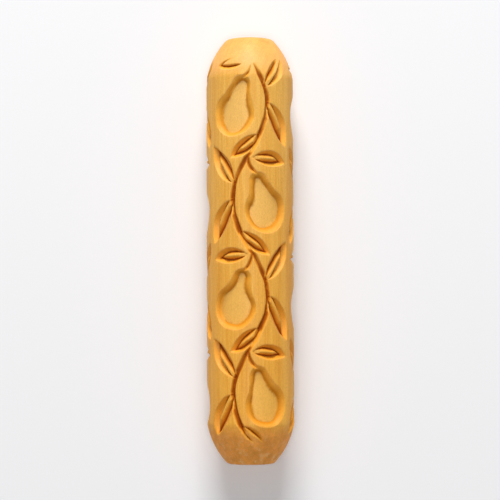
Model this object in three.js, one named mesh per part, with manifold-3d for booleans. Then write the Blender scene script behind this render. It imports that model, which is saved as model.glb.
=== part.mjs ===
// A clay texture roller: one solid piece of turned hardwood that is rolled over soft clay under the palms.
// Running vines with pears and leaves are carved into it, so that it prints them raised on the clay.
// Both ends are turned down to a small flat face.
//
// Millimetres. X runs along the roller, Z is up, and the origin is the middle of its axis.
// The carving is drawn on the unrolled surface as points (around, along) and wrapped onto the wood.

import * as THREE from "three";
import { mergeVertices } from "three/addons/utils/BufferGeometryUtils.js";
import Module from "manifold-3d";

const wasm = await Module();
wasm.setup();

// The turned blank
const rollerLength = 200;
const rollerDiameter = 41;
const endFaceDiameter = 21.8; // the flat left at each end
const endTaperLength = 19; // how far from each end the turned-down part reaches
const endTaperBulge = 1.6; // how far its curve swells past a straight cone
const endEdgeRound = 0.7; // the sanded edge of the flat

// The cut of the tool
const pocketDepth = 2.5; // floors of the pears and leaves, below the surface
const leafWallRun = 1.6; // how far a leaf's wall leans in over that depth
const pearBrowRun = 1.6; // the upper part of a pear's wall rounds over, leaning in this far
const pearBrowDepth = 1.2; // by this depth
const pearFootRun = 0.9; // its lower part falls more steeply to the floor
const grooveDepth = 1.7; // stems and stalks
const grooveWidth = 2.8;

// The repeat of the vine
const vineCount = 3; // side by side around the roller
const bendCount = 4; // bends along each vine, every one with its pear and four leaves
const vineSwing = 8.5; // how far the vine bends to each side
const vineEndGap = 10; // between the vine and each end face

// A pear: a round body and a small round neck, joined by hollow flanks
const pearBodyRadius = 10.6;
const pearNeckRadius = 4.6;
const pearNeckReach = 14.2; // body centre to neck centre
const pearFlankRadius = 18;
const pearPlace = { around: -8, along: 4.5 }; // body centre, from the middle of the bend
const pearLean = THREE.MathUtils.degToRad(16); // the neck leans towards the vine
const stalkWidth = 2.2;
const stalkBow = 1.2;
const stalkJoin = -21; // where the stalk meets the vine, along

// The leaves of one bend, measured from its middle. Each starts on the vine or a little beside it,
// and has the bow of its left and of its right edge
const leaves = [
  { start: -1, beside: 0, tip: { around: 19.5, along: 19.5 }, bows: [3.8, 5.2] },
  { start: -8, beside: 0, tip: { around: 19.8, along: -26 }, bows: [4.8, 3.6] },
  { start: -20, beside: -2.4, tip: { around: -18.6, along: -18 }, bows: [4.4, 2.8] },
  { start: 14, beside: 0, tip: { around: -9.5, along: 25 }, bows: [3.3, 3.9] },
];
const ribCrestWidth = 1.6; // where the midrib leaves the vine
const ribTipWidth = 0.4; // where it has sunk to the floor
const ribDrop = 0.3; // its crest lies this far under the surface
const ribLeanRun = 1.2; // how far each side leans out from the crest to the floor
const ribShare = 0.6; // how much of the leaf it runs along at full height
const ribReach = 0.86; // and where it has sunk to the floor

// How finely round shapes are cut into flats
const barrelFacets = 36; // a multiple of four, so that a flat lies to the top, the bottom and both sides
const taperSteps = 4;
const pearSteps = { body: 14, flank: 2, neck: 5 };
const leafSteps = 4;
const ribSteps = 2;
const stalkSteps = 2;
const vineStepsPerBend = 9;

// Sizes that follow from those above
const radius = rollerDiameter / 2;
const circumference = 2 * Math.PI * radius;
const vineLength = rollerLength - 2 * vineEndGap;
const bendLength = vineLength / bendCount;
const firstBend = -(bendCount - 1) / 2; // bends are numbered from the middle of the roller
const cutProud = 1.5; // cutters start this far above the surface
const cutUnder = 0.5; // and pocket walls run on this far under the floor
const arris = { inset: 0, deep: 0 };
const leafWall = runOn([arris, { inset: leafWallRun, deep: pocketDepth }]);
const pearWall = runOn([
  arris,
  { inset: pearBrowRun, deep: pearBrowDepth },
  { inset: pearBrowRun + pearFootRun, deep: pocketDepth },
]);

// A point of the unrolled drawing, at a distance from the axis
function wrapped({ around, along }, fromAxis) {
  const angle = around / radius;
  return [along, fromAxis * Math.sin(angle), fromAxis * Math.cos(angle)];
}

// A closed solid from a surface whose corners may be doubled and whose faces may look inward
function solidFrom(geometry) {
  const bare = new THREE.BufferGeometry().setAttribute("position", geometry.getAttribute("position"));
  bare.setIndex(geometry.getIndex());
  const merged = mergeVertices(bare, 1e-4);
  const index = merged.getIndex().array;
  const kept = [];
  for (let i = 0; i < index.length; i += 3) {
    const [a, b, c] = [index[i], index[i + 1], index[i + 2]];
    if (a !== b && b !== c && c !== a) kept.push(a, b, c);
  }
  const mesh = (triangles) =>
    new wasm.Mesh({
      numProp: 3,
      vertProperties: merged.getAttribute("position").array,
      triVerts: new Uint32Array(triangles),
    });
  const solid = new wasm.Manifold(mesh(kept));
  return solid.volume() > 0 ? solid : new wasm.Manifold(mesh(kept.reverse()));
}

// A closed solid through rings of corners that have the same count, each end closed at a middle point
function loftSolid(rings, firstMiddle, lastMiddle) {
  const count = rings[0].length;
  const corners = [...rings.flat(), firstMiddle, lastMiddle];
  const first = corners.length - 2;
  const last = corners.length - 1;
  const triangles = [];
  for (let i = 0; i < count; i++) {
    const j = (i + 1) % count;
    triangles.push(first, j, i);
    for (let r = 0; r + 1 < rings.length; r++) {
      const a = r * count;
      const b = a + count;
      triangles.push(a + i, a + j, b + j, a + i, b + j, b + i);
    }
    const top = (rings.length - 1) * count;
    triangles.push(last, top + i, top + j);
  }
  const geometry = new THREE.BufferGeometry();
  geometry.setAttribute("position", new THREE.Float32BufferAttribute(corners.flat(), 3));
  geometry.setIndex(triangles);
  return solidFrom(geometry);
}

function middleOf(points) {
  const sum = points.reduce((s, p) => [s[0] + p.around, s[1] + p.along], [0, 0]);
  return { around: sum[0] / points.length, along: sum[1] / points.length };
}

// A profile turned round the roller's axis, its flats touching the true round from outside
function turned(profile) {
  const halfFacet = Math.PI / barrelFacets;
  const corners = profile.map((p) => new THREE.Vector2(p.x / Math.cos(halfFacet), p.y));
  return solidFrom(new THREE.LatheGeometry(corners, barrelFacets, halfFacet).rotateZ(-Math.PI / 2));
}

// The lathe work: a straight barrel whose ends are turned down along an arc to the flat faces
function turnedBlank() {
  const endRadius = endFaceDiameter / 2;
  const crease = new THREE.Vector2(radius, rollerLength / 2 - endTaperLength);
  const rim = new THREE.Vector2(endRadius, rollerLength / 2);
  const chord = crease.distanceTo(rim);
  const arcRadius = (chord * chord) / 8 / endTaperBulge + endTaperBulge / 2;
  const outward = new THREE.Vector2(rim.y - crease.y, crease.x - rim.x).normalize();
  const middle = crease.clone().add(rim).multiplyScalar(0.5);
  const centre = middle.addScaledVector(outward, endTaperBulge - arcRadius);
  const startAngle = Math.atan2(crease.y - centre.y, crease.x - centre.x);
  const endAngle = Math.atan2(rim.y - centre.y, rim.x - centre.x) - endEdgeRound / arcRadius;
  const taper = [];
  for (let i = 0; i <= taperSteps; i++) {
    const angle = startAngle + ((endAngle - startAngle) * i) / taperSteps;
    const onArc = new THREE.Vector2(Math.cos(angle), Math.sin(angle)).multiplyScalar(arcRadius);
    taper.push(onArc.add(centre));
  }
  const faceEdge = new THREE.Vector2(endRadius - endEdgeRound, rollerLength / 2);
  const roundMiddle = taper.at(-1).clone().add(faceEdge).multiplyScalar(0.25).addScaledVector(rim, 0.5);
  const half = [...taper, roundMiddle, faceEdge, new THREE.Vector2(0, rollerLength / 2)];
  const otherHalf = half.map((p) => new THREE.Vector2(p.x, -p.y)).reverse();
  return turned([...otherHalf, ...half]);
}

// The wood that no pocket reaches: its surface is the floor of every pocket
function floorCore() {
  const reach = rollerLength / 2 + cutProud;
  const axisEnd = new THREE.Vector2(0, reach);
  const edge = new THREE.Vector2(radius - pocketDepth, reach);
  const below = (p) => new THREE.Vector2(p.x, -p.y);
  return turned([below(axisEnd), below(edge), edge, axisEnd]);
}

// The outline of a pear, drawn in by an inset, with its neck pointing along a heading
function pearOutline(centre, heading, inset) {
  const bodyGap = pearBodyRadius + pearFlankRadius;
  const neckGap = pearNeckRadius + pearFlankRadius;
  const flankAlong = (pearNeckReach ** 2 + bodyGap ** 2 - neckGap ** 2) / (2 * pearNeckReach);
  const flankOut = Math.sqrt(bodyGap ** 2 - flankAlong ** 2);
  const bodyJoin = Math.atan2(flankOut, flankAlong);
  const neckJoin = Math.atan2(flankOut, flankAlong - pearNeckReach);
  const points = [];
  const arc = (x, y, r, from, to, steps) => {
    for (let i = 0; i < steps; i++) {
      const angle = from + ((to - from) * i) / steps;
      const [px, py] = [x + r * Math.cos(angle), y + r * Math.sin(angle)];
      points.push({
        around: centre.around + px * Math.cos(heading) - py * Math.sin(heading),
        along: centre.along + px * Math.sin(heading) + py * Math.cos(heading),
      });
    }
  };
  const flank = pearFlankRadius + inset;
  arc(0, 0, pearBodyRadius - inset, bodyJoin, 2 * Math.PI - bodyJoin, pearSteps.body);
  arc(flankAlong, -flankOut, flank, Math.PI - bodyJoin, Math.PI - neckJoin, pearSteps.flank);
  arc(pearNeckReach, 0, pearNeckRadius - inset, -neckJoin, neckJoin, pearSteps.neck);
  arc(flankAlong, flankOut, flank, neckJoin - Math.PI, bodyJoin - Math.PI, pearSteps.flank);
  return points;
}

// The arc that bows to the left of the way from one point to the other
function bowedArc(from, to, bow) {
  const chord = Math.hypot(to.around - from.around, to.along - from.along);
  const [du, dx] = [(to.around - from.around) / chord, (to.along - from.along) / chord];
  const r = (chord * chord) / 8 / Math.abs(bow) + Math.abs(bow) / 2;
  const lift = bow - Math.sign(bow) * r;
  return {
    r,
    around: (from.around + to.around) / 2 - dx * lift,
    along: (from.along + to.along) / 2 + du * lift,
  };
}

// Points on a circle from one point for a share of the short way round to the other
function arcPart(circle, from, to, share, steps) {
  const start = Math.atan2(from.along - circle.along, from.around - circle.around);
  let turn = Math.atan2(to.along - circle.along, to.around - circle.around) - start;
  if (turn > Math.PI) turn -= 2 * Math.PI;
  if (turn < -Math.PI) turn += 2 * Math.PI;
  return Array.from({ length: steps + 1 }, (_, i) => {
    const angle = start + (share * turn * i) / steps;
    return {
      around: circle.around + circle.r * Math.cos(angle),
      along: circle.along + circle.r * Math.sin(angle),
    };
  });
}

// The two points where two circles cross, the one nearer the base first
function crossings(a, b, base) {
  const gap = Math.hypot(b.around - a.around, b.along - a.along);
  const [du, dx] = [(b.around - a.around) / gap, (b.along - a.along) / gap];
  const onto = (gap * gap + a.r * a.r - b.r * b.r) / (2 * gap);
  const off = Math.sqrt(a.r * a.r - onto * onto);
  const found = [1, -1].map((side) => ({
    around: a.around + du * onto - dx * off * side,
    along: a.along + dx * onto + du * off * side,
  }));
  const far = (p) => Math.hypot(p.around - base.around, p.along - base.along);
  return far(found[0]) < far(found[1]) ? found : found.reverse();
}

// The outline of a leaf between its base and tip, drawn in by an inset
function leafOutline(base, tip, bows, inset) {
  const left = bowedArc(base, tip, bows[0]);
  const right = bowedArc(base, tip, -bows[1]);
  left.r -= inset;
  right.r -= inset;
  const [start, end] = crossings(left, right, base);
  const out = arcPart(left, start, end, 1, leafSteps);
  const back = arcPart(right, end, start, 1, leafSteps);
  return [...out.slice(0, -1), ...back.slice(0, -1)];
}

// The profile of a wall, its ends run on straight to above the surface and to under the floor
function runOn(profile) {
  const onLine = (a, b, deep) => {
    const share = (deep - a.deep) / (b.deep - a.deep);
    return { inset: THREE.MathUtils.lerp(a.inset, b.inset, share), deep };
  };
  const top = onLine(profile[0], profile[1], -cutProud);
  const bottom = onLine(profile.at(-2), profile.at(-1), pocketDepth + cutUnder);
  return [top, ...profile.slice(1, -1), bottom];
}

// A pocket from the profile of its wall and an outline that can be drawn in
function pocketCutter(wall, outlineAt) {
  const outlines = wall.map(({ inset }) => outlineAt(inset));
  const rings = outlines.map((points, i) => points.map((p) => wrapped(p, radius - wall[i].deep)));
  const middles = outlines.map((points, i) => wrapped(middleOf(points), radius - wall[i].deep));
  return loftSolid(rings, middles[0], middles.at(-1));
}

// A bar that follows a path on the roller, with its half width and height given at every step
function barAlong(path, sectionAt) {
  const rings = path.map((p, i) => {
    const before = path[Math.max(i - 1, 0)];
    const after = path[Math.min(i + 1, path.length - 1)];
    const run = Math.hypot(after.around - before.around, after.along - before.along);
    const side = { around: -(after.along - before.along) / run, along: (after.around - before.around) / run };
    return sectionAt(i).map(([off, height]) =>
      wrapped({ around: p.around + side.around * off, along: p.along + side.along * off }, radius + height),
    );
  });
  const middle = (ring) => [0, 1, 2].map((k) => ring.reduce((s, c) => s + c[k], 0) / ring.length);
  return loftSolid(rings, middle(rings[0]), middle(rings.at(-1)));
}

// A groove with a sharp bottom
function grooveCutter(path, width) {
  const lean = grooveWidth / 2 / grooveDepth;
  const topHalf = width / 2 + cutProud * lean;
  return barAlong(path, () => [
    [-topHalf, cutProud],
    [topHalf, cutProud],
    [0, -width / 2 / lean],
  ]);
}

// The midrib left standing in a leaf, halfway between its edges, narrowing and sinking towards the tip
function midrib(base, tip, bows) {
  const edges = [bowedArc(base, tip, bows[0]), bowedArc(base, tip, -bows[1])];
  const halfway = (share) => middleOf(edges.map((edge) => arcPart(edge, base, tip, share, 1)[1]));
  const shares = Array.from({ length: ribSteps + 1 }, (_, i) => (ribShare * i) / ribSteps);
  shares.push(ribReach);
  const lean = ribLeanRun / (pocketDepth - ribDrop);
  const under = pocketDepth + cutUnder;
  return barAlong(shares.map(halfway), (step) => {
    const share = shares[step];
    const half = THREE.MathUtils.lerp(ribCrestWidth, ribTipWidth, share / ribReach) / 2;
    const crest = share > ribShare ? pocketDepth : ribDrop;
    const foot = half + (under - crest) * lean;
    return [
      [-half, -crest],
      [-foot, -under],
      [foot, -under],
      [half, -crest],
    ];
  });
}

// How far the vine has swung at a place along the roller, from the middle of a bend
function vineSwingAt(along) {
  return vineSwing * Math.cos((Math.PI * along) / bendLength);
}

// All the cutters of one bend, mirrored in every second one
function bendCutters(middle, side) {
  const place = (p) => ({ around: middle.around + side * p.around, along: middle.along + p.along });
  const centre = place(pearPlace);
  const heading = Math.atan2(-Math.cos(pearLean), side * Math.sin(pearLean));
  const neckTip = pearNeckReach + pearNeckRadius - stalkWidth / 2;
  const stalkStart = {
    around: centre.around + neckTip * Math.cos(heading),
    along: centre.along + neckTip * Math.sin(heading),
  };
  const stalkEnd = place({ around: vineSwingAt(stalkJoin), along: stalkJoin });
  const stalk = arcPart(bowedArc(stalkStart, stalkEnd, side * stalkBow), stalkStart, stalkEnd, 1, stalkSteps);
  const pockets = [pocketCutter(pearWall, (inset) => pearOutline(centre, heading, inset))];
  for (const leaf of leaves) {
    const base = place({ around: vineSwingAt(leaf.start) + leaf.beside, along: leaf.start });
    const tip = place(leaf.tip);
    const bows = side > 0 ? leaf.bows : [leaf.bows[1], leaf.bows[0]];
    const pocket = pocketCutter(leafWall, (inset) => leafOutline(base, tip, bows, inset));
    pockets.push(pocket.subtract(midrib(base, tip, bows)));
  }
  return { pockets, grooves: [grooveCutter(stalk, stalkWidth)] };
}

function joined(solids) {
  return solids.reduce((all, next) => all.add(next));
}

function carvedRoller() {
  const pockets = [];
  const grooves = [];
  for (let v = 0; v < vineCount; v++) {
    const around = (circumference * v) / vineCount;
    const steps = bendCount * vineStepsPerBend;
    const vine = Array.from({ length: steps + 1 }, (_, i) => {
      const along = vineLength * (i / steps - 0.5);
      return { around: around + vineSwingAt(along - firstBend * bendLength), along };
    });
    grooves.push(grooveCutter(vine, grooveWidth));
    for (let bend = 0; bend < bendCount; bend++) {
      const along = (firstBend + bend) * bendLength;
      const made = bendCutters({ around, along }, bend % 2 === 0 ? 1 : -1);
      pockets.push(...made.pockets);
      grooves.push(...made.grooves);
    }
  }
  const cut = joined(pockets).subtract(floorCore()).add(joined(grooves));
  const mesh = turnedBlank().subtract(cut).getMesh();
  const geometry = new THREE.BufferGeometry();
  geometry.setAttribute("position", new THREE.BufferAttribute(mesh.vertProperties, 3));
  geometry.setIndex(new THREE.BufferAttribute(mesh.triVerts, 1));
  const faceted = geometry.toNonIndexed();
  faceted.computeVertexNormals();
  return faceted;
}

const oiledHardwood = new THREE.MeshStandardMaterial({ color: 0xe0a556, roughness: 0.55, metalness: 0 });

const roller = new THREE.Mesh(carvedRoller(), oiledHardwood);
roller.name = "roller";

const part = new THREE.Group();
part.add(roller);

export default part;
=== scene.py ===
import math

import bpy
from mathutils import Matrix, Vector
from mathutils.geometry import delaunay_2d_cdt


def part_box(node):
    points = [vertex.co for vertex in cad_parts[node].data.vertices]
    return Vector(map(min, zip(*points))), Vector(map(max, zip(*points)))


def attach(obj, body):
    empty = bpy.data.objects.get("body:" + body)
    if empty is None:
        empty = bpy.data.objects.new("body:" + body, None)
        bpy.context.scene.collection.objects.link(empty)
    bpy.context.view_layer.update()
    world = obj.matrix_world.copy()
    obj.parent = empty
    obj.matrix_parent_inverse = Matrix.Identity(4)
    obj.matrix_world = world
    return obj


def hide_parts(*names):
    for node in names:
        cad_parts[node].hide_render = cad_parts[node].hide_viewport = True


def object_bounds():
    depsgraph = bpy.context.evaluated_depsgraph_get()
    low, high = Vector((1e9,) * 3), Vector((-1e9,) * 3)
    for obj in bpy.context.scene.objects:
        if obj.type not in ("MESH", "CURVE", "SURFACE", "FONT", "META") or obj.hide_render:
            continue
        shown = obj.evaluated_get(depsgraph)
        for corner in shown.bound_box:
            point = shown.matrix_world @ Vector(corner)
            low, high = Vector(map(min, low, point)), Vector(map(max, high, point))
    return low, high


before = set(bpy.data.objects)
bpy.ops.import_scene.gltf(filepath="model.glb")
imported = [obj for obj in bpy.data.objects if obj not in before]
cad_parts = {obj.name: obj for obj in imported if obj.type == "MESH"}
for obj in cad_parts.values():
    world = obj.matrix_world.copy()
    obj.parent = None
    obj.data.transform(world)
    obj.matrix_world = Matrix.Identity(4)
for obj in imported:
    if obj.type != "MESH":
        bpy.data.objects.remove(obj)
cadLow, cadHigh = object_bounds()
mm = 0.001


# Node building, for shaders and for geometry alike

nodeLayout = {"rows": 6, "across": 190, "down": 210}  # where new nodes stand in the editor


class Wire:
    # A socket of a node tree. Arithmetic on it adds the nodes that work it out.
    def __init__(self, tree, socket):
        self.tree = tree
        self.socket = socket

    def isVector(self):
        return self.socket.type == "VECTOR"

    def __add__(self, other):
        return self.tree.math("ADD", self, other)

    def __radd__(self, other):
        return self.tree.math("ADD", other, self)

    def __sub__(self, other):
        return self.tree.math("SUBTRACT", self, other)

    def __rsub__(self, other):
        return self.tree.math("SUBTRACT", other, self)

    def __mul__(self, other):
        return self.tree.math("MULTIPLY", self, other)

    def __rmul__(self, other):
        return self.tree.math("MULTIPLY", other, self)

    def __truediv__(self, other):
        return self.tree.math("DIVIDE", self, other)

    def __pow__(self, other):
        return self.tree.math("POWER", self, other)


class Tree:
    # A node tree that is being built. node() adds any node; the others are its everyday uses.
    def __init__(self, nodeTree):
        self.nodeTree = nodeTree
        self.nodeTree.nodes.clear()

    def node(self, kind, settings=None, inputs=None, output=0):
        nodes = self.nodeTree.nodes
        made = nodes.new(kind)
        column, row = divmod(len(nodes), nodeLayout["rows"])
        made.location = (column * nodeLayout["across"], -row * nodeLayout["down"])
        for name, value in (settings or {}).items():
            setattr(made, name, value)
        for name, value in (inputs or {}).items():
            if isinstance(value, Wire):
                self.nodeTree.links.new(value.socket, made.inputs[name])
            else:
                made.inputs[name].default_value = value
        return Wire(self, made.outputs[output]) if made.outputs else made

    def math(self, operation, *values):
        if any(isinstance(v, Wire) and v.isVector() for v in values):
            return self.vectorMath(operation, *values)
        return self.node("ShaderNodeMath", {"operation": operation}, dict(enumerate(values)))

    def vectorMath(self, operation, *values, output=0):
        def spread(value):
            # a plain number stands for all three parts of a vector
            return value if isinstance(value, Wire) or hasattr(value, "__len__") else (value,) * 3

        inputs = {i: spread(value) for i, value in enumerate(values)}
        return self.node("ShaderNodeVectorMath", {"operation": operation}, inputs, output)

    def split(self, vector):
        made = self.node("ShaderNodeSeparateXYZ", inputs={0: vector}).socket.node
        return [Wire(self, socket) for socket in made.outputs]

    def join(self, x, y, z):
        return self.node("ShaderNodeCombineXYZ", inputs={0: x, 1: y, 2: z})

    def ramp(self, value, start, end):
        # 0 below start, 1 above end, and smooth between them
        settings = {"interpolation_type": "SMOOTHSTEP"}
        inputs = {"Value": value, "From Min": start, "From Max": end}
        return self.node("ShaderNodeMapRange", settings, inputs)

    def blend(self, factor, first, second):
        # a Mix node's inputs 6 and 7 are its colours, and its output 2 is the mixed colour
        inputs = {0: factor, 6: first, 7: second}
        return self.node("ShaderNodeMix", {"data_type": "RGBA"}, inputs, 2)

    def noise(self, place, detail, roughness=0.5):
        inputs = {"Vector": place, "Scale": 1.0, "Detail": detail, "Roughness": roughness}
        return self.node("ShaderNodeTexNoise", inputs=inputs)


# Lines and arcs on the unrolled surface

def evenly(first, last, spacing):
    # numbers from first to last, about a spacing apart
    steps = max(1, round(abs(last - first) / spacing))
    return [first + (last - first) * i / steps for i in range(steps + 1)]


def towards(angle):
    return Vector((math.cos(angle), math.sin(angle)))


def leftOf(way):
    return Vector((-way.y, way.x))


def angleAt(centre, point):
    return math.atan2(point.y - centre.y, point.x - centre.x)


def bowedArc(start, end, bow):
    # the circle whose arc bows to the left of the way from start to end
    chord = end - start
    arcRadius = chord.length ** 2 / 8 / abs(bow) + abs(bow) / 2
    lift = bow - math.copysign(arcRadius, bow)
    return (start + end) / 2 + leftOf(chord).normalized() * lift, arcRadius


def pointsOnArc(centre, arcRadius, start, end, steps):
    first = angleAt(centre, start)
    turn = angleAt(centre, end) - first
    turn = (turn + math.pi) % (2 * math.pi) - math.pi
    return [centre + arcRadius * towards(first + turn * i / steps) for i in range(steps + 1)]


# The turned blank. Its surface is drawn unrolled, as points (around, along), and wrapped later.

low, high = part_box("roller")
blank = {
    "length": high.x - low.x,
    "radius": (high.z - low.z) / 2,
    "endFaceRadius": 10.9 * mm,
    "endTaper": 19 * mm,  # how far from each end the turned-down part reaches
    "endBulge": 1.6 * mm,  # how far its curve swells past a straight cone
    "endEdgeRound": 0.7 * mm,
}
radius = blank["radius"]
halfLength = blank["length"] / 2
crease = Vector((halfLength - blank["endTaper"], radius))
endRim = Vector((halfLength, blank["endFaceRadius"]))
endArcCentre, endArcRadius = bowedArc(crease, endRim, blank["endBulge"])


def pointOnEndArc(angle):
    return endArcCentre + endArcRadius * towards(angle)


creaseAngle = angleAt(endArcCentre, crease)
roundAngle = angleAt(endArcCentre, endRim) + blank["endEdgeRound"] / endArcRadius
roundStart = pointOnEndArc(roundAngle)
flatRadius = blank["endFaceRadius"] - blank["endEdgeRound"]


def turnedRadius(along):
    # the radius that the lathe leaves at a place along the roller
    reach = abs(along)
    if reach <= crease.x:
        return radius
    if reach <= roundStart.x:
        return endArcCentre.y + math.sqrt(endArcRadius ** 2 - (reach - endArcCentre.x) ** 2)
    # the rounded edge, a quadratic curve that the rim's corner pulls out
    left = math.sqrt(max(0.0, (halfLength - reach) / (halfLength - roundStart.x)))
    share = 1 - left
    return left ** 2 * roundStart.y + 2 * left * share * endRim.y + share ** 2 * flatRadius


# The carving: vines side by side round the roller, each bend with a pear and four leaves

cut = {
    "pocketDepth": 2.5 * mm,
    "leafWallRun": 1.6 * mm,  # how far a leaf's wall leans in over that depth
    "pearWallRun": 2.5 * mm,
    "pearWallRound": 0.65,  # 1 is a straight wall, less rounds it over and steepens its foot
    "grooveDepth": 1.7 * mm,
    "grooveWidth": 2.8 * mm,
    "stalkWidth": 2.2 * mm,
    "ribCrest": 1.6 * mm,  # width of a midrib's top where it leaves the vine
    "ribTip": 0.4 * mm,  # and where it has sunk to the floor
    "ribDrop": 0.3 * mm,  # its top lies this far under the surface
    "ribLean": 1.2 * mm,  # how far each side leans out from the top to the floor
    "ribShare": 0.6,  # how much of the leaf it runs along at full height
    "ribReach": 0.86,  # and where it has sunk to the floor
    "arrisRound": 0.15 * mm,
    "ribRound": 0.35 * mm,
    "grooveRound": 0.15 * mm,
}
vine = {
    "count": 3,
    "bends": 4,
    "swing": 8.5 * mm,  # how far it sways to either side
    "endGap": 10 * mm,  # between its end and the roller's
    "stalkJoin": -21 * mm,  # where a pear's stalk leaves it, from the middle of the bend
    "stalkBow": 1.2 * mm,
}
pear = {
    "bodyRadius": 10.6 * mm,
    "neckRadius": 4.6 * mm,
    "neckReach": 14.2 * mm,  # from the middle of the body to that of the neck
    "flankRadius": 18 * mm,  # of the hollow curve between them
    "place": Vector((-8, 4.5)) * mm,
    "lean": math.radians(16),
}
# A leaf starts on the vine, or a little beside it. Its edges bow out from the way to its tip.
leaves = [
    {
        "start": -1 * mm,
        "beside": 0.0,
        "tip": Vector((19.5, 19.5)) * mm,
        "bows": (3.8 * mm, 5.2 * mm),
    },
    {
        "start": -8 * mm,
        "beside": 0.0,
        "tip": Vector((19.8, -26)) * mm,
        "bows": (4.8 * mm, 3.6 * mm),
    },
    {
        "start": -20 * mm,
        "beside": -2.4 * mm,
        "tip": Vector((-18.6, -18)) * mm,
        "bows": (4.4 * mm, 2.8 * mm),
    },
    {
        "start": 14 * mm,
        "beside": 0.0,
        "tip": Vector((-9.5, 25)) * mm,
        "bows": (3.3 * mm, 3.9 * mm),
    },
]
grooveSlope = 2 * cut["grooveDepth"] / cut["grooveWidth"]
ribSlope = (cut["pocketDepth"] - cut["ribDrop"]) / cut["ribLean"]
vineSpan = blank["length"] - 2 * vine["endGap"]
bendLength = vineSpan / vine["bends"]
firstBend = -(vine["bends"] - 1) / 2
stripWidth = 2 * math.pi * radius / vine["count"]
farAway = 9 * mm  # stands for any distance at which a stroke no longer cuts


class Pear:
    def __init__(self, centre, heading):
        self.centre = centre
        self.ahead = towards(heading)
        bodyGap = pear["bodyRadius"] + pear["flankRadius"]
        neckGap = pear["neckRadius"] + pear["flankRadius"]
        reach = pear["neckReach"]
        # where the middle of a flank's curve lies, along the pear and out from its axis
        self.flankAlong = (reach ** 2 + bodyGap ** 2 - neckGap ** 2) / (2 * reach)
        self.flankOut = math.sqrt(bodyGap ** 2 - self.flankAlong ** 2)

    def inside(self, point):
        # how deep a point lies inside the outline, negative outside it
        away = point - self.centre
        x = away.dot(self.ahead)
        y = abs(self.ahead.x * away.y - self.ahead.y * away.x)
        fromFlank = Vector((x - self.flankAlong, y - self.flankOut))
        toBody = Vector((-self.flankAlong, -self.flankOut))
        toNeck = Vector((pear["neckReach"] - self.flankAlong, -self.flankOut))
        pastBody = toBody.x * fromFlank.y - toBody.y * fromFlank.x
        pastNeck = toNeck.x * fromFlank.y - toNeck.y * fromFlank.x
        if pastBody < 0 or y > self.flankOut:
            return pear["bodyRadius"] - math.hypot(x, y)
        if pastNeck > 0:
            return pear["neckRadius"] - math.hypot(x - pear["neckReach"], y)
        return fromFlank.length - pear["flankRadius"]

    def ring(self, inset, spacing):
        # the outline drawn in by an inset, its points abreast of the outline's own
        along, out, reach = self.flankAlong, self.flankOut, pear["neckReach"]
        body, neck, flank = pear["bodyRadius"], pear["neckRadius"], pear["flankRadius"]
        bodyJoin = math.atan2(out, along)
        neckJoin = math.atan2(out, along - reach)
        arcs = [
            (0.0, 0.0, body, -inset, bodyJoin, 2 * math.pi - bodyJoin),
            (along, -out, flank, inset, math.pi - bodyJoin, math.pi - neckJoin),
            (reach, 0.0, neck, -inset, -neckJoin, neckJoin),
            (along, out, flank, inset, neckJoin - math.pi, bodyJoin - math.pi),
        ]
        side = leftOf(self.ahead)
        points = []
        for x, y, arcRadius, change, first, last in arcs:
            for angle in evenly(first, last, spacing / arcRadius)[:-1]:
                px = x + (arcRadius + change) * math.cos(angle)
                py = y + (arcRadius + change) * math.sin(angle)
                points.append(self.centre + self.ahead * px + side * py)
        return points


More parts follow.
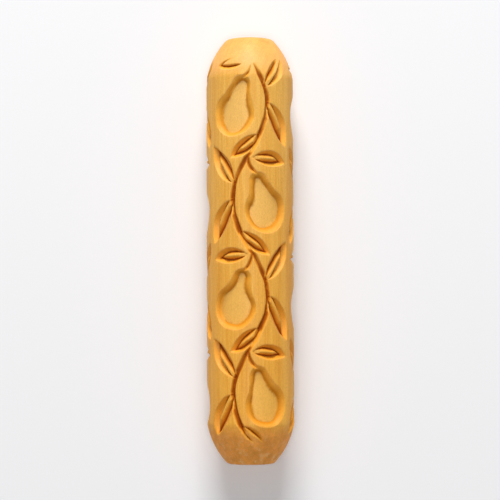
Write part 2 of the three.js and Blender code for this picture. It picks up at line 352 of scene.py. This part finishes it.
class Leaf:
    def __init__(self, base, tip, bows):
        self.base = base
        self.tip = tip
        self.bows = bows
        self.edges = [bowedArc(base, tip, bows[0]), bowedArc(base, tip, -bows[1])]
        self.chord = tip - base
        self.left = leftOf(self.chord).normalized()

    def spine(self, share):
        # the midline, half way between the edges
        middle = 2 * (self.bows[0] - self.bows[1]) * share * (1 - share)
        return self.base + self.chord * share + self.left * middle

    def inside(self, point):
        return min(arcRadius - (point - centre).length for centre, arcRadius in self.edges)

    def ribPlace(self, point):
        # share of the way from base to tip, and distance from the midline
        away = point - self.base
        share = away.dot(self.chord) / self.chord.length_squared
        return share, abs((point - self.spine(share)).dot(self.left))

    def ribHalf(self, share):
        width = cut["ribCrest"] + (cut["ribTip"] - cut["ribCrest"]) * share / cut["ribReach"]
        return max(width, cut["ribTip"]) / 2

    def ribOff(self, point):
        # how far a point lies from the midrib's top, which sinks towards the leaf's tip
        share, off = self.ribPlace(point)
        sunk = max(0.0, share - cut["ribShare"]) / (cut["ribReach"] - cut["ribShare"])
        return max(0.0, off - self.ribHalf(share)) + sunk * cut["ribLean"]

    def wallDepth(self, point):
        return cut["pocketDepth"] * min(1.0, self.inside(point) / cut["leafWallRun"])

    def ribDepth(self, point):
        return cut["ribDrop"] + ribSlope * self.ribOff(point)

    def depth(self, point):
        return min(self.wallDepth(point), self.ribDepth(point))

    def ring(self, inset, spacing):
        # the outline drawn in by an inset, or nothing where the leaf is too narrow for it
        (leftCentre, leftRadius), (rightCentre, rightRadius) = self.edges
        leftRadius -= inset
        rightRadius -= inset
        across = rightCentre - leftCentre
        gap = across.length
        onto = (gap ** 2 + leftRadius ** 2 - rightRadius ** 2) / (2 * gap)
        if leftRadius ** 2 <= onto ** 2:
            return []
        onward = across / gap
        beside = leftOf(onward) * math.sqrt(leftRadius ** 2 - onto ** 2)
        corners = [leftCentre + onward * onto + beside, leftCentre + onward * onto - beside]
        corners.sort(key=lambda corner: (corner - self.base).length)
        steps = round(self.chord.length / spacing)
        out = pointsOnArc(leftCentre, leftRadius, corners[0], corners[1], steps)
        back = pointsOnArc(rightCentre, rightRadius, corners[1], corners[0], steps)
        return out + back[1:-1]

    def valleyOff(self, share, side):
        # how far beside the spine the midrib's side and the wall meet
        near, far = self.ribHalf(share), self.bows[0] + self.bows[1]
        for _ in range(grid["halvings"]):
            off = (near + far) / 2
            point = self.spine(share) + self.left * side * off
            onRib = self.ribDepth(point) < self.wallDepth(point)
            near, far = (off, far) if onRib else (near, off)
        return near

    def ribLines(self, spacing):
        lines = []
        for share in evenly(0.0, cut["ribReach"], spacing / self.chord.length):
            half = self.ribHalf(share)
            lines.append(self.spine(share))
            for side in (1, -1):
                valley = self.valleyOff(share, side)
                for off in (valley, half, (half + valley) / 2):
                    lines.append(self.spine(share) + self.left * side * off)
        return [p for p in lines if self.inside(p) > 0]


class Stroke:
    # a groove along a curve, given by its points
    def __init__(self, points, width):
        self.points = points
        self.halfWidth = width / 2

    def inside(self, point):
        nearest = farAway
        for a, b in zip(self.points, self.points[1:]):
            step = b - a
            share = min(1.0, max(0.0, (point - a).dot(step) / step.length_squared))
            nearest = min(nearest, (a + step * share - point).length)
        return self.halfWidth - nearest

    def line(self, off):
        # the curve's points, moved sideways
        made = []
        for i, p in enumerate(self.points):
            step = self.points[min(i + 1, len(self.points) - 1)] - self.points[max(i - 1, 0)]
            made.append(p + leftOf(step).normalized() * off)
        return made


def swingAt(along):
    return vine["swing"] * math.cos(math.pi * along / bendLength)


def vineInside(point):
    # the vine's own groove, on the strip
    if abs(point.y) > vineSpan / 2:
        return -farAway
    along = point.y - firstBend * bendLength
    lean = -vine["swing"] * math.pi / bendLength * math.sin(math.pi * along / bendLength)
    return cut["grooveWidth"] / 2 - abs(point.x - swingAt(along)) / math.hypot(1, lean)


def makeBend(number, spacing):
    # the pear, leaves and stalk of one bend, mirrored in every second one, and where the cuts meet
    side = 1 if number % 2 == 0 else -1
    middle = Vector((0.0, (firstBend + number) * bendLength))

    def place(point):
        return middle + Vector((side * point.x, point.y))

    def onVine(along, beside=0.0):
        return place(Vector((swingAt(along) + beside, along)))

    heading = math.atan2(-math.cos(pear["lean"]), side * math.sin(pear["lean"]))
    centre = place(pear["place"])
    foliage = []
    for leaf in leaves:
        base = onVine(leaf["start"], leaf["beside"])
        bows = leaf["bows"] if side > 0 else leaf["bows"][::-1]
        foliage.append(Leaf(base, place(leaf["tip"]), bows))
    neckTip = pear["neckReach"] + pear["neckRadius"] - cut["stalkWidth"] / 2
    stalkStart = centre + neckTip * towards(heading)
    stalkEnd = onVine(vine["stalkJoin"])
    arcCentre, arcRadius = bowedArc(stalkStart, stalkEnd, side * vine["stalkBow"])
    steps = round((stalkEnd - stalkStart).length / spacing)
    stalkPoints = pointsOnArc(arcCentre, arcRadius, stalkStart, stalkEnd, steps)
    return {
        "pear": Pear(centre, heading),
        "leaves": foliage,
        "stalk": Stroke(stalkPoints, cut["stalkWidth"]),
        "knots": [leaf.base for leaf in foliage] + [stalkStart, stalkEnd],
    }


# The sheet: one strip of the unrolled surface, with points where the carving needs them

grid = {
    "alongLines": 0.5 * mm,  # between points along an arris or a foot
    "alongVine": 0.4 * mm,  # and along the vine, measured along the roller
    "besideArris": 0.2 * mm,  # from an arris to the lines beside it
    "closest": 0.17 * mm,  # between any two points of these lines
    "open": 0.95 * mm,  # between points on open wood and floors
    "clearOfLines": 0.5 * mm,  # between those and the lines
    "clearOfEdge": 0.6 * mm,  # between the lines and the strip's own edges
    "knotReach": 2.6 * mm,  # how far round the place where cuts meet the points lie closer
    "knotSpacing": 0.36 * mm,
    "halvings": 16,  # of the span in which a midrib's foot is looked for
    "edgeStep": 0.25,  # between rows over a rounded end edge, as a share of it
    "endFacePoints": 44,  # around the end face, for each strip
    "cell": 1.0 * mm,  # the squares through which near points are found, wider than any gap
    "tolerance": 1e-7,  # of the triangulation, which works in millimetres
    "seam": 0.02 * mm,  # points closer than this, where strips and end faces meet, become one
}


class Scatter:
    # points kept apart by a least distance, found again through square cells
    def __init__(self, cellSize):
        self.cellSize = cellSize
        self.cells = {}
        self.points = []

    def cellOf(self, point):
        return math.floor(point.x / self.cellSize), math.floor(point.y / self.cellSize)

    def add(self, point, apart):
        column, row = self.cellOf(point)
        for i in (column - 1, column, column + 1):
            for j in (row - 1, row, row + 1):
                for other in self.cells.get((i, j), ()):
                    if (other - point).length < apart:
                        return
        self.cells.setdefault((column, row), []).append(point)
        self.points.append(point)


def sheetRows():
    # places along the roller, from end to end
    barrel = evenly(0.0, crease.x, grid["open"])
    angles = evenly(creaseAngle, roundAngle, grid["open"] / endArcRadius)
    taper = [pointOnEndArc(angle).x for angle in angles]
    edgeWidth = halfLength - roundStart.x
    edge = [halfLength - (1 - s) ** 2 * edgeWidth for s in evenly(0.0, 1.0, grid["edgeStep"])]
    half = barrel + taper[1:] + edge[1:]
    return [-along for along in reversed(half[1:])] + half


def knotPoints(knot):
    points = []
    for away in evenly(0.0, grid["knotReach"], grid["knotSpacing"])[1:]:
        for angle in evenly(0.0, 2 * math.pi, grid["knotSpacing"] / away)[:-1]:
            points.append(knot + away * towards(angle))
    return points


def carvingLines(bends):
    # lines of points on the carving, the sharp edges first
    step = grid["alongLines"]
    beside = grid["besideArris"]
    sharp, soft = [], []

    def addStroke(stroke):
        half = stroke.halfWidth
        for off in (0.0, -half, half):
            sharp.extend(stroke.line(off))
        for off in (-half - beside, -half / 2, half / 2, half + beside):
            soft.extend(stroke.line(off))

    for bend in bends:
        for pocket in (bend["pear"], *bend["leaves"]):
            foot = cut["pearWallRun"] if pocket is bend["pear"] else cut["leafWallRun"]
            for inset in (0.0, foot):
                sharp += pocket.ring(inset, step)
            byFoot = (foot - 2 * beside, foot - beside, foot + beside)
            for inset in (-beside, beside, foot / 2, *byFoot):
                soft += pocket.ring(inset, step)
        for leaf in bend["leaves"]:
            sharp += leaf.ribLines(step)
        addStroke(bend["stalk"])
        for knot in bend["knots"]:
            soft += knotPoints(knot)
    alongs = evenly(-vineSpan / 2, vineSpan / 2, grid["alongVine"])
    stem = [Vector((swingAt(along - firstBend * bendLength), along)) for along in alongs]
    addStroke(Stroke(stem, cut["grooveWidth"]))
    return sharp, soft


def scatterPoints(bends):
    edge = stripWidth / 2
    widest = edge - grid["clearOfEdge"]
    longest = roundStart.x - grid["clearOfEdge"]
    scatter = Scatter(grid["cell"])
    for line in carvingLines(bends):
        for point in line:
            if abs(point.x) < widest and abs(point.y) < longest:
                scatter.add(point, grid["closest"])
    rows = sheetRows()
    outline = []
    for i, along in enumerate(rows):
        share = turnedRadius(along) / radius
        steps = max(grid["endFacePoints"], 2 * round(stripWidth * share / grid["open"] / 2))
        if i in (0, len(rows) - 1):
            outline += [Vector((-edge + stripWidth * k / steps, along)) for k in range(steps + 1)]
            continue
        outline += [Vector((-edge, along)), Vector((edge, along))]
        shift = 0.25 if i % 2 else -0.25  # every second row lies half a step further round
        for k in range(1, steps):
            point = Vector((-edge + stripWidth * (k + shift) / steps, along))
            scatter.add(point, grid["clearOfLines"])
    return outline + scatter.points


def makeSheet():
    bends = [makeBend(number, grid["alongLines"]) for number in range(vine["bends"])]
    points = [point / mm for point in scatterPoints(bends)]
    found = delaunay_2d_cdt(points, [], [], 0, grid["tolerance"])
    flat = [corner * mm for corner in found[0]]
    triangles = found[2]
    mesh = bpy.data.meshes.new("sheet")
    mesh.from_pydata([(p.x, p.y, turnedRadius(p.y)) for p in flat], [], triangles)
    mesh.update()
    if mesh.polygons[0].normal.z > 0:
        mesh.flip_normals()  # wrapping turns the sheet over, so it then faces outward
    distances = {"pearIn": [], "leafIn": [], "ribOff": [], "grooveIn": []}
    for point in flat:
        nearest = round(point.y / bendLength - firstBend)
        near = bends[max(0, nearest - 1):nearest + 2]
        foliage = [leaf for bend in near for leaf in bend["leaves"]]
        deepest = max(foliage, key=lambda leaf: leaf.depth(point))
        distances["pearIn"].append(max(bend["pear"].inside(point) for bend in near))
        distances["leafIn"].append(deepest.inside(point))
        distances["ribOff"].append(deepest.ribOff(point))
        stalks = [bend["stalk"].inside(point) for bend in near]
        distances["grooveIn"].append(max(vineInside(point), *stalks))
    for name, values in distances.items():
        mesh.attributes.new(name, "FLOAT", "POINT").data.foreach_set("value", values)
    print("sheet of one vine:", len(flat), "points,", len(triangles), "triangles")
    return mesh


# The wrapping and the carving, as a node tree with named sizes

hand = {
    "wobble": 1.4 * mm,  # how far the lines stray from the drawing, over a few millimetres
    "chatter": 0.22 * mm,  # ripples that the gouge leaves
    "heft": 0.9 * mm,  # how much the grooves swell and thin along the way
    "slack": 1.3,  # how much the pears' walls widen and narrow along the way, as a share
    "sanding": 0.05 * mm,  # how uneven the turned surface is
    "slideShare": 0.8,  # the share of the barrel on which the lines also stray along it in full
}
# The noise behind each: how many changes in a metre, their detail, and how far off in the noise it
# is taken, so that no two change together
handNoise = {
    "wobble": (95.0, 1.0, 0.0),
    "slide": (95.0, 1.0, 40.0),  # the wobble along the roller
    "chatter": (420.0, 1.0, 0.0),
    "heft": (130.0, 0.0, 7.0),
    "slack": (100.0, 0.0, 23.0),
    "sanding": (110.0, 2.0, 0.0),
}
# Where shade is painted into the cuts as dark colour, in depths of a pocket unless a line says
# otherwise
shadeReach = {
    "valley": 0.72,  # how far up from the valleys beside the midribs it reaches
    "ribSunk": (1.0, 2.0),  # over what depth of the sunk midrib it ends
    "groove": (0.45, 0.8),  # from how deep a groove holds some, and from how deep it is full of it
    "grooveShare": 0.88,  # how dark that is, as a share
    "foot": 0.75,  # how far up a pear's wall it reaches from the foot, as a share of the wall
    "footFade": 2.5,  # how many times sooner it ends on the floor
    "footShare": 0.4,  # how dark that is, as a share
    "clean": 0.45,  # the depth down to which it is thinner
}


def carveTree():
    tree = bpy.data.node_groups.new("wrap and carve", "GeometryNodeTree")
    sizes = {
        "Radius": radius,
        "Half Length": halfLength,
        "End Face Radius": flatRadius,
        "Crease": crease.x,
        "Pocket Depth": cut["pocketDepth"],
        "Leaf Wall Run": cut["leafWallRun"],
        "Pear Wall Run": cut["pearWallRun"],
        "Pear Wall Round": cut["pearWallRound"],
        "Groove Slope": grooveSlope,
        "Rib Drop": cut["ribDrop"],
        "Rib Slope": ribSlope,
        "Arris Round": cut["arrisRound"],
        "Rib Round": cut["ribRound"],
        "Groove Round": cut["grooveRound"],
        "Wobble": hand["wobble"],
        "Chatter": hand["chatter"],
        "Heft": hand["heft"],
        "Slack": hand["slack"],
        "Sanding": hand["sanding"],
    }
    counts = {"Vines": vine["count"], "End Face Points": vine["count"] * grid["endFacePoints"]}

    def addSockets(names, kind, way="INPUT"):
        for name in names:
            tree.interface.new_socket(name, in_out=way, socket_type="NodeSocket" + kind)

    addSockets(["Geometry"], "Geometry")
    addSockets(sizes, "Float")
    addSockets(counts, "Int")
    addSockets(["Material"], "Material")
    addSockets(["Geometry"], "Geometry", "OUTPUT")
    make = Tree(tree)
    given = make.node("NodeGroupInput").socket.node

    def size(name):
        return Wire(make, given.outputs[name])

    def attribute(name):
        return make.node("GeometryNodeInputNamedAttribute", {"data_type": "FLOAT"}, {"Name": name})

    def store(geometry, name, value):
        settings = {"data_type": "FLOAT", "domain": "POINT"}
        inputs = {"Geometry": geometry, "Name": name, "Value": value}
        return make.node("GeometryNodeStoreNamedAttribute", settings, inputs)

    # wrap one strip, repeat it round the axis and close the ends
    position = make.node("GeometryNodeInputPosition")
    around, along, fromAxis = make.split(position)
    angle = around / size("Radius")
    wrapped = make.join(
        along, fromAxis * make.math("SINE", angle), fromAxis * make.math("COSINE", angle)
    )
    strip = make.node(
        "GeometryNodeSetPosition", inputs={"Geometry": size("Geometry"), "Position": wrapped}
    )
    places = make.node(
        "GeometryNodeMeshLine",
        {"mode": "OFFSET"},
        {"Count": size("Vines"), "Offset": (0.0, 0.0, 0.0)},
    )
    turn = make.node("GeometryNodeInputIndex") * (2 * math.pi) / size("Vines")
    strips = make.node(
        "GeometryNodeInstanceOnPoints",
        inputs={"Points": places, "Instance": strip, "Rotation": make.join(turn, 0.0, 0.0)},
    )
    disc = make.node(
        "GeometryNodeMeshCircle",
        {"fill_type": "TRIANGLE_FAN"},
        {"Vertices": size("End Face Points"), "Radius": size("End Face Radius")},
    )
    everything = make.node("GeometryNodeJoinGeometry")
    tree.links.new(strips.socket, everything.socket.node.inputs[0])
    for way in (1, -1):
        moved = {
            "Geometry": disc,
            "Translation": make.join(size("Half Length") * way, 0.0, 0.0),
            "Rotation": (0.0, way * math.pi / 2, 0.0),
        }
        face = make.node("GeometryNodeTransform", inputs=moved)
        tree.links.new(face.socket, everything.socket.node.inputs[0])
    real = make.node("GeometryNodeRealizeInstances", inputs={"Geometry": everything})
    closed = make.node(
        "GeometryNodeMergeByDistance", inputs={"Geometry": real, "Distance": grid["seam"]}
    )

    def noiseOf(name):
        perMetre, detail, shift = handNoise[name]
        return make.noise(position * perMetre + shift, detail)

    # the drawing strays a little, round the roller and on the barrel also along it
    x, y, z = make.split(position)
    turnBy = (noiseOf("wobble") - 0.5) * size("Wobble") / size("Radius")
    turned = make.node(
        "ShaderNodeVectorRotate",
        {"rotation_type": "X_AXIS"},
        {"Vector": position, "Angle": turnBy},
    )
    slideEnd = size("Crease") * hand["slideShare"]
    onBarrel = 1.0 - make.ramp(make.math("ABSOLUTE", x), slideEnd, size("Crease"))
    slide = (noiseOf("slide") - 0.5) * size("Wobble") * onBarrel
    strayed = make.node(
        "GeometryNodeSetPosition",
        inputs={"Geometry": closed, "Position": turned, "Offset": make.join(slide, 0.0, 0.0)},
    )

    # how deep every point is cut under the turned surface
    chatter = (noiseOf("chatter") - 0.5) * size("Chatter")
    slack = (noiseOf("slack") - 0.5) * size("Slack")
    heft = (noiseOf("heft") - 0.5) * size("Heft")
    pearIn = attribute("pearIn") / ((slack + 1.0) * size("Pear Wall Run"))
    toFoot = make.math("MAXIMUM", 1.0 - pearIn, 0.0)
    pearDeep = (1.0 - toFoot ** size("Pear Wall Round")) * size("Pocket Depth")
    leafIn = make.math("MINIMUM", attribute("leafIn") / size("Leaf Wall Run"), 1.0)
    wall = leafIn * size("Pocket Depth")
    rib = attribute("ribOff") * size("Rib Slope") + size("Rib Drop")
    leafDeep = make.math("SMOOTH_MIN", wall, rib, size("Rib Round"))
    pocket = make.math("MAXIMUM", pearDeep, leafDeep) + chatter
    groove = (attribute("grooveIn") + chatter + heft) * size("Groove Slope")
    deep = make.math("SMOOTH_MAX", pocket, groove, size("Groove Round"))
    turnedDown = size("Radius") - make.vectorMath("LENGTH", make.join(0.0, y, z), output="Value")
    cutDepth = make.math("SMOOTH_MAX", deep - turnedDown, 0.0, size("Arris Round"))
    carved = store(strayed, "carved", cutDepth / size("Pocket Depth"))

    def depthRamp(value, start, end):
        return make.ramp(value, size("Pocket Depth") * start, size("Pocket Depth") * end)

    # painted shade in the narrow bottoms, where shade falls: beside midribs, along grooves and at
    # the pears' feet
    beside = 1.0 - depthRamp(make.math("ABSOLUTE", wall - rib), 0.0, shadeReach["valley"])
    beside = beside * (1.0 - depthRamp(rib, *shadeReach["ribSunk"]))
    grooveShade = depthRamp(groove - pocket, *shadeReach["groove"]) * shadeReach["grooveShare"]
    pastFoot = pearIn - 1.0
    fromFoot = make.math("MAXIMUM", pastFoot * -1.0, pastFoot * shadeReach["footFade"])
    footShade = (1.0 - make.ramp(fromFoot, 0.0, shadeReach["foot"])) * shadeReach["footShare"]
    paintedShade = make.math("MAXIMUM", make.math("MAXIMUM", beside, grooveShade), footShade)
    paintedShade = paintedShade * depthRamp(cutDepth, 0.0, shadeReach["clean"])
    marked = store(carved, "paintedShade", paintedShade)

    uneven = noiseOf("sanding") * size("Sanding")
    inward = make.vectorMath("NORMALIZE", make.join(0.0, y, z)) * ((cutDepth + uneven) * -1.0)
    worked = make.node("GeometryNodeSetPosition", inputs={"Geometry": marked, "Offset": inward})
    smooth = make.node(
        "GeometryNodeSetShadeSmooth", inputs={"Geometry": worked, "Shade Smooth": True}
    )
    painted = make.node(
        "GeometryNodeSetMaterial", inputs={"Geometry": smooth, "Material": size("Material")}
    )
    make.node("NodeGroupOutput", inputs={"Geometry": painted})
    return tree, {**sizes, **counts}


def finishRoller(material):
    sheet = bpy.data.objects.new("carvedRoller", makeSheet())
    bpy.context.scene.collection.objects.link(sheet)
    tree, values = carveTree()
    values["Material"] = material
    modifier = sheet.modifiers.new("wrap and carve", "NODES")
    modifier.node_group = tree
    for item in tree.interface.items_tree:
        if item.in_out == "INPUT" and item.name in values:
            modifier[item.identifier] = values[item.name]
    bpy.context.view_layer.update()
    evaluated = sheet.evaluated_get(bpy.context.evaluated_depsgraph_get())
    solid = bpy.data.meshes.new_from_object(evaluated)
    sheet.modifiers.clear()
    sheet.data = solid
    print("roller:", len(solid.vertices), "points,", len(solid.polygons), "faces")
    return sheet


# The wood

wood = {
    "pale": (0.91, 0.485, 0.080, 1.0),
    "deep": (0.78, 0.33, 0.030, 1.0),
    "floor": (0.89, 0.495, 0.105, 1.0),
    "wall": (0.92, 0.385, 0.026, 1.0),  # cut across the fibres, it takes more oil; its deep orange also paints the warm bounced light in the shaded walls
    # the dark colour of the shade painted into the cuts' narrow bottoms
    "crease": (0.25, 0.013, 0.0, 1.0),
    "endGrain": (0.92, 0.34, 0.07, 1.0),
    # pale chips, and also the colour of the painted highlight on the low end
    "fleck": (0.97, 0.52, 0.19, 1.0),
    "lowEndTint": (1.0, 1.06, 1.33, 1.0),  # the tint at the low end, paler and bluer
    "towardsHighEnd": (0.985, 0.945, 0.83, 1.0),  # and at the high end, yellower
    "pith": (-74.0, -30.0),  # y and z of the tree's heart, beside the roller, in millimetres
    "ringWander": 5.0,  # how far the rings stray from true circles, in millimetres
    "ringChange": 2.0,  # and how much they differ where they have strayed
    "roughness": 0.34,
    "roughFibre": 0.12,  # added to it on raised fibres
    "bump": 0.25,
    "bumpHeight": 0.05 * mm,
    "raised": 0.6,  # how much of that height the fibres have
    "sunk": 0.5,  # and the pores
    "sheen": 0.0,
    "polish": 0.66,  # the oil's sheen, none in the narrow bottoms where shade is painted and half of it at the worn end
    "polishRoughness": 0.52,
}
# The noises: changes in a millimetre along the roller and across it, detail and roughness
noises = {
    "drift": (0.012, 0.07, 2.0, 0.5),  # slow, which bends the rings
    "rings": (0.003, 0.62, 5.0, 0.65),  # outward from the pith instead of across
    "fibre": (0.06, 2.6, 4.0, 0.6),
    "grain": (1.1, 2.4, 2.0, 0.7),  # fine specks all over
    "patch": (0.02, 0.11, 3.0, 0.5),
    "pore": (0.25, 5.0, 2.0, 0.5),
    "mottle": (0.22, 0.22, 5.0, 0.6),
    "fleck": (0.34, 0.34, 5.0, 0.65),
}
# How strongly each shows
strength = {
    "rings": 1.9,
    "fibre": 1.8,
    "patch": 0.9,
    "pale": 1.8,  # taken off their sum, so that most of the wood is pale
    "grain": 0.5,
    "floor": 0.75,
    "wall": 0.85,
    # how strongly the painted shade darkens the narrow bottoms
    "paintedShade": 0.95,
    "pore": 0.3,
    "ringsOnEnd": -1.6,  # below zero, because a high value is a dark ring, as on the barrel
    "flatEnd": 0.15,  # the end grain's own colour is this much less on the flat ends
    "endGrain": 0.6,
    "endGrainMottle": 0.2,  # added to it by the mottle
    "mottle": 0.9,
    "paintedEndHighlight": 0.55,  # a painted highlight: the turned-down face of the low end, which faces the key lamp, made paler
    "fleck": 0.2,
    "chipped": 0.7,  # added to the flecks at the worn end's rim
}
# How worn the wood is: the least, what is added towards one end, and at the rim of the other
wear = {"least": 0.4, "worn": 0.6, "rim": 0.35, "noLoss": 0.5}  # above noLoss the polish suffers
# Where each begins and where it is full
spans = {
    "floorCarved": (0.75, 0.95),  # carved is 1 at a pocket's full depth
    "floorFacing": (0.85, 0.97),  # facing is 1 where the surface faces straight out
    "wallCarved": (0.02, 0.15),
    "wallFacing": (0.8, 0.985),
    "cut": (0.02, 0.1),
    "across": (0.1, 0.38),  # how far the surface is turned to face along the roller
    "squarely": (0.75, 0.95),  # the same for the flat ends alone
    "towardsHighEnd": (-80.0, 80.0),  # places along the roller, in millimetres
    "worn": (-60.0, 60.0),
    "rim": (86.0, 99.0),
    "chipped": (84.0, 98.0),
    "fleck": (0.5, 0.66),
    "pore": (0.64, 0.74),
    "unpolished": (0.0, 0.4),
}


def oiledHardwood():
    material = bpy.data.materials.new("oiledHardwood")
    material.use_nodes = True
    make = Tree(material.node_tree)
    place = make.node("ShaderNodeTexCoord", output="Object") * (1 / mm)
    x, y, z = make.split(place)

    def noiseOf(name):
        along, across, detail, roughness = noises[name]
        return make.noise(make.join(x * along, y * across, z * across), detail, roughness)

    def within(name, value):
        return make.ramp(value, *spans[name])

    def attribute(name):
        return make.node("ShaderNodeAttribute", {"attribute_name": name}, output="Fac")

    def tint(colour, by):
        return make.vectorMath("MULTIPLY", colour, by)

    # growth rings round the tree's heart, fibres along the roller and broad patches
    heart = make.join(0.0, y - wood["pith"][0], z - wood["pith"][1])
    drift = noiseOf("drift")
    fromHeart = make.vectorMath("LENGTH", heart, output="Value") + drift * wood["ringWander"]
    along, fromPith, detail, roughness = noises["rings"]
    growth = make.join(x * along, fromHeart * fromPith, drift * wood["ringChange"])
    rings = make.noise(growth, detail, roughness)
    fibre = noiseOf("fibre")
    tone = rings * strength["rings"] + fibre * strength["fibre"]
    tone = tone + noiseOf("patch") * strength["patch"] - strength["pale"]
    colour = make.blend(tone, wood["pale"], wood["deep"])

    # floors and walls of the cuts, and the shade painted into their narrow bottoms
    normal = make.node("ShaderNodeNewGeometry", output="Normal")
    outward = make.vectorMath("NORMALIZE", make.join(0.0, y, z))
    facing = make.vectorMath("DOT_PRODUCT", normal, outward, output="Value")
    carved = attribute("carved")
    isFloor = within("floorCarved", carved) * within("floorFacing", facing)
    colour = make.blend(isFloor * strength["floor"], colour, wood["floor"])
    # the walls: wood that took more oil, and partly a painted warm shade of light bounced in the
    # pockets
    isWall = within("wallCarved", carved) * (1.0 - within("wallFacing", facing))
    colour = make.blend(isWall * strength["wall"], colour, wood["wall"])
    # the wood is tinted paler and bluer towards the low end and yellower towards the high end
    towardsHighEnd = within("towardsHighEnd", x)
    colour = tint(colour, make.blend(towardsHighEnd, wood["lowEndTint"], wood["towardsHighEnd"]))
    # painted shade: the narrow bottoms of the cuts are darkened where shade falls
    paintedShade = attribute("paintedShade")
    colour = make.blend(paintedShade * strength["paintedShade"], colour, wood["crease"])

    # the turned-down ends show the fibres' ends, blotched where they took the oil unevenly
    turned = make.math("ABSOLUTE", make.split(normal)[0])
    squarely = within("squarely", turned)  # the flat ends, where the rings show
    colour = tint(colour, (rings - 0.5) * squarely * strength["ringsOnEnd"] + 1.0)
    across = within("across", turned) * (1.0 - within("cut", carved))
    across = across * (1.0 - squarely * strength["flatEnd"])
    worn = within("worn", x) * wear["worn"] + within("rim", x * -1.0) * wear["rim"] + wear["least"]
    wornEnd = across * worn
    mottle = noiseOf("mottle")
    endGrain = mottle * strength["endGrainMottle"] + strength["endGrain"]
    colour = make.blend(wornEnd * endGrain, colour, wood["endGrain"])
    colour = tint(colour, (mottle - 0.5) * wornEnd * strength["mottle"] + 1.0)
    # painted highlight on the turned-down face of the low end, which faces the key lamp
    colour = make.blend(across * (1.0 - worn) * strength["paintedEndHighlight"], colour, wood["fleck"])
    flecks = wornEnd * within("fleck", noiseOf("fleck"))
    chipped = within("chipped", x) * strength["chipped"]
    colour = make.blend(flecks * (chipped + strength["fleck"]), colour, wood["fleck"])

    # specks and pores, which also make it uneven
    colour = tint(colour, (noiseOf("grain") - 0.5) * strength["grain"] + 1.0)
    pore = within("pore", noiseOf("pore"))
    colour = make.blend(pore * strength["pore"], colour, wood["deep"])
    relief = fibre * wood["raised"] - pore * wood["sunk"]
    bump = make.node(
        "ShaderNodeBump",
        inputs={"Height": relief, "Strength": wood["bump"], "Distance": wood["bumpHeight"]},
        output="Normal",
    )
    polish = (1.0 - across * (worn - wear["noLoss"])) * (1.0 - within("unpolished", paintedShade))
    surface = make.node(
        "ShaderNodeBsdfPrincipled",
        inputs={
            "Base Color": colour,
            "Roughness": fibre * wood["roughFibre"] + wood["roughness"],
            "Normal": bump,
            "Specular IOR Level": wood["sheen"],
            "Coat Weight": polish * wood["polish"],
            "Coat Roughness": wood["polishRoughness"],
        },
    )
    make.node("ShaderNodeOutputMaterial", inputs={"Surface": surface})
    print("oiled hardwood:", len(material.node_tree.nodes), "nodes")
    return material


roller = finishRoller(oiledHardwood())
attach(roller, "root")
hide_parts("roller")


# The floor and the light

studio = {
    "floorSize": 3.0,
    "floorColour": (0.914, 0.915, 0.93, 1.0),
    "floorRoughness": 0.9,
    "floorSheen": 0.1,
    "worldColour": (1.0, 1.0, 1.0, 1.0),
    "worldStrength": 0.19,
    "backdrop": 0.82,  # how bright the world is where the camera looks past the floor
}
lamps = {
    "key": {"place": Vector((-1.84, -0.07, 1.02)), "size": (1.1, 0.9), "power": 48.5},
    "overhead": {"place": Vector((0.15, 0.0, 1.6)), "size": (0.45, 0.45), "power": 7.8},
}


def pointAt(thing, target, up):
    # turn a lamp or camera so that its -Z looks at the target, with its +Y as near up as it can be
    back = (thing.location - target).normalized()
    right = up.cross(back).normalized()
    top = back.cross(right)
    thing.rotation_euler = Matrix([right, top, back]).transposed().to_euler()


def makeFloor():
    half = studio["floorSize"] / 2
    level = cadLow.z
    corners = [(x * half, y * half, level) for x, y in ((-1, -1), (1, -1), (1, 1), (-1, 1))]
    mesh = bpy.data.meshes.new("floor")
    mesh.from_pydata(corners, [], [(0, 1, 2, 3)])
    floor = bpy.data.objects.new("floor", mesh)
    bpy.context.scene.collection.objects.link(floor)
    material = bpy.data.materials.new("paleFloor")
    material.use_nodes = True
    make = Tree(material.node_tree)
    surface = make.node(
        "ShaderNodeBsdfPrincipled",
        inputs={
            "Base Color": studio["floorColour"],
            "Roughness": studio["floorRoughness"],
            "Specular IOR Level": studio["floorSheen"],
        },
    )
    make.node("ShaderNodeOutputMaterial", inputs={"Surface": surface})
    mesh.materials.append(material)


def makeLight():
    world = bpy.data.worlds.new("studio")
    bpy.context.scene.world = world
    world.use_nodes = True
    make = Tree(world.node_tree)
    seen = make.node("ShaderNodeLightPath", output="Is Camera Ray")
    bright = seen * (studio["backdrop"] - studio["worldStrength"]) + studio["worldStrength"]
    background = make.node(
        "ShaderNodeBackground", inputs={"Color": studio["worldColour"], "Strength": bright}
    )
    make.node("ShaderNodeOutputWorld", inputs={"Surface": background})

    for name, values in lamps.items():
        light = bpy.data.lights.new(name, "AREA")
        light.shape = "RECTANGLE"
        light.size, light.size_y = values["size"]
        light.energy = values["power"]
        lamp = bpy.data.objects.new(name, light)
        bpy.context.scene.collection.objects.link(lamp)
        lamp.location = values["place"]
        pointAt(lamp, Vector((0.0, 0.0, 0.0)), Vector((0.0, 1.0, 0.0)))


# The camera, above the roller, with the roller's low end at the top of the picture

view = {
    "lens": 135.0,
    "distance": 0.8862,
    "tilt": math.radians(2.5),
    "turn": math.radians(0.2),
    "target": Vector((-0.45, -0.08, 0.0)) * mm,
}


def makeCamera():
    data = bpy.data.cameras.new("camera")
    data.lens = view["lens"]
    camera = bpy.data.objects.new("camera", data)
    bpy.context.scene.collection.objects.link(camera)
    away = Vector((math.sin(view["tilt"]), 0.0, math.cos(view["tilt"])))
    camera.location = view["target"] + away * view["distance"]
    up = Vector((-math.cos(view["turn"]), math.sin(view["turn"]), 0.0))
    pointAt(camera, view["target"], up)
    bpy.context.scene.camera = camera


makeFloor()
makeLight()
makeCamera()
bpy.context.scene.view_settings.view_transform = "Standard"
print("studio and camera set")
